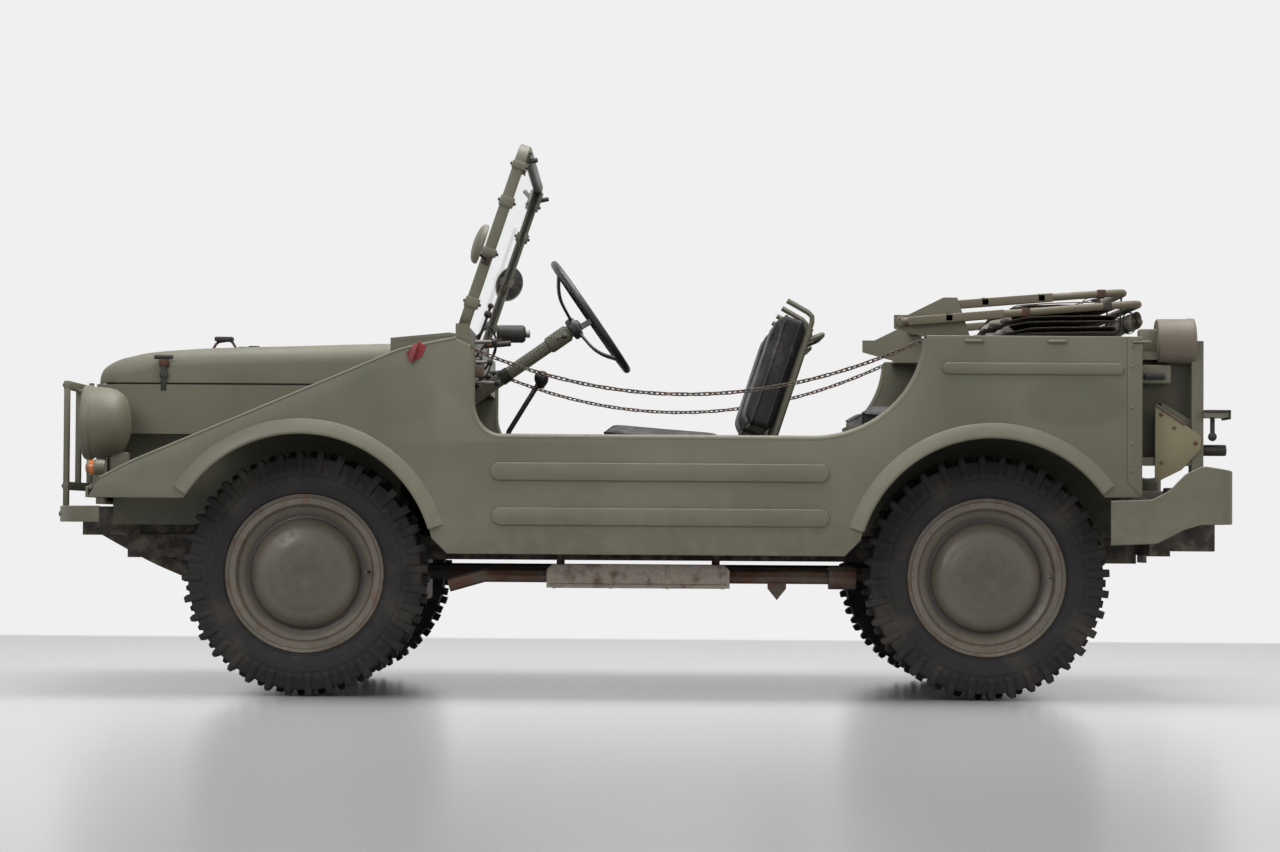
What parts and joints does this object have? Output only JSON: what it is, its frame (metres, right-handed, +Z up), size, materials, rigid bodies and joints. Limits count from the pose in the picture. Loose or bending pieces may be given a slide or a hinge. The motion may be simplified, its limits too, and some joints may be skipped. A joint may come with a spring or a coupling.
{
  "type": "open military 4x4 car",
  "caption": "Open military 4x4 car with steered rolling wheels, lifting bonnet, folding windscreen, folding hood bows and door chains.",
  "frame": {"origin": "on the ground, below the middle of the car's bounding box", "axes": "+X from the nose to the tail, +Y to the car's right side, +Z up"},
  "size_m": [3.42, 1.706, 1.6345],
  "materials": {
    "olive_paint": "matt, faded",
    "black_paint": "satin, dusty",
    "dull_steel": "dull",
    "tyre_rubber": "matt",
    "black_vinyl": "worn vinyl",
    "black_plastic": "satin",
    "clear_glass": "clear",
    "old_canvas": "faded, dirty canvas",
    "rusty_steel": "rusty"
  },
  "bodies": {
    "car": {"side_panel_left": "olive_paint", "side_panel_right": "olive_paint", "front_wing_left": "olive_paint", "front_wing_right": "olive_paint", "grille_panel": "olive_paint", "cowl": "olive_paint", "front_floor": "olive_paint", "rear_tub": "olive_paint", "rear_panel": "olive_paint", "deck_rail_left": "olive_paint", "deck_rail_right": "olive_paint", "chassis_frame": "black_paint", "engine_block": "dull_steel", "transaxle": "dull_steel", "rear_driveline": "dull_steel", "front_lower_arms": "black_paint", "rear_axle": "black_paint", "front_bumper": "olive_paint", "brush_guard": "olive_paint", "headlamp_left": "olive_paint", "headlamp_right": "olive_paint", "rear_bumper_left": "olive_paint", "rear_bumper_right": "olive_paint", "tow_hitch": "black_paint", "exhaust": "rusty_steel", "steering_column": "olive_paint", "gear_lever": "black_paint", "door_chain_left": "dull_steel", "door_chain_right": "dull_steel", "seat_left_frame": "olive_paint", "seat_left_cushion": "black_vinyl", "seat_left_back": "black_vinyl", "seat_right_frame": "olive_paint", "seat_right_cushion": "black_vinyl", "seat_right_back": "black_vinyl", "rear_seat_frame": "olive_paint", "rear_seat_cushion": "black_vinyl", "rear_seat_back": "black_vinyl"},
    "bonnet_lid": {"bonnet": "olive_paint"},
    "screen": {"windscreen_frame": "olive_paint", "windscreen_glass": "clear_glass"},
    "main_bow": {"bow_main": "olive_paint", "hood_roll": "old_canvas"},
    "rear_bow": {"bow_rear": "olive_paint"},
    "steering": {"steering_wheel": "black_plastic"},
    "steer_left": {"knuckle_left": "dull_steel"},
    "steer_right": {"knuckle_right": "dull_steel"},
    "front_left_wheel": {"wheel_front_left": "olive_paint", "tyre_front_left": "tyre_rubber"},
    "front_right_wheel": {"wheel_front_right": "olive_paint", "tyre_front_right": "tyre_rubber"},
    "rear_left_wheel": {"wheel_rear_left": "olive_paint", "tyre_rear_left": "tyre_rubber"},
    "rear_right_wheel": {"wheel_rear_right": "olive_paint", "tyre_rear_right": "tyre_rubber"}
  },
  "joints": [
    {"name": "steer_left_turn", "type": "hinge", "parent": "car", "child": "steer_left", "pos_m": [-0.987, -0.53, 0.36], "axis": [0, 0, 1], "range_deg": [-26, 26]},
    {"name": "steer_right_turn", "type": "hinge", "parent": "car", "child": "steer_right", "pos_m": [-0.987, 0.53, 0.36], "axis": [0, 0, 1], "range_deg": [-26, 26]},
    {"name": "steering_wheel_turn", "type": "hinge", "parent": "car", "child": "steering", "pos_m": [-0.158, -0.36, 1.136], "axis": [0.8192, 0, 0.5736], "range_deg": [-366, 366]},
    {"name": "front_left_wheel_roll", "type": "hinge", "parent": "steer_left", "child": "front_left_wheel", "pos_m": [-0.987, -0.603, 0.36], "axis": [0, 1, 0], "continuous": true},
    {"name": "front_right_wheel_roll", "type": "hinge", "parent": "steer_right", "child": "front_right_wheel", "pos_m": [-0.987, 0.603, 0.36], "axis": [0, 1, 0], "continuous": true},
    {"name": "rear_left_wheel_roll", "type": "hinge", "parent": "car", "child": "rear_left_wheel", "pos_m": [1.013, -0.603, 0.36], "axis": [0, 1, 0], "continuous": true},
    {"name": "rear_right_wheel_roll", "type": "hinge", "parent": "car", "child": "rear_right_wheel", "pos_m": [1.013, 0.603, 0.36], "axis": [0, 1, 0], "continuous": true},
    {"name": "bonnet_lift", "type": "hinge", "parent": "car", "child": "bonnet_lid", "pos_m": [-0.7345, 0, 1.0555], "axis": [0, 1, 0], "range_deg": [0, 55]},
    {"name": "windscreen_fold", "type": "hinge", "parent": "car", "child": "screen", "pos_m": [-0.53, 0, 1.085], "axis": [0, 1, 0], "range_deg": [-108.5, 0]},
    {"name": "main_bow_raise", "type": "hinge", "parent": "car", "child": "main_bow", "pos_m": [0.755, 0, 1.108], "axis": [0, -1, 0], "range_deg": [0, 90]},
    {"name": "rear_bow_raise", "type": "hinge", "parent": "car", "child": "rear_bow", "pos_m": [0.9, 0, 1.16], "axis": [0, -1, 0], "range_deg": [0, 55]}
  ],
  "couplings": [
    {"joint": "steer_right_turn", "follows": "steer_left_turn", "ratio": 1},
    {"joint": "steering_wheel_turn", "follows": "steer_left_turn", "ratio": 14}
  ]
}
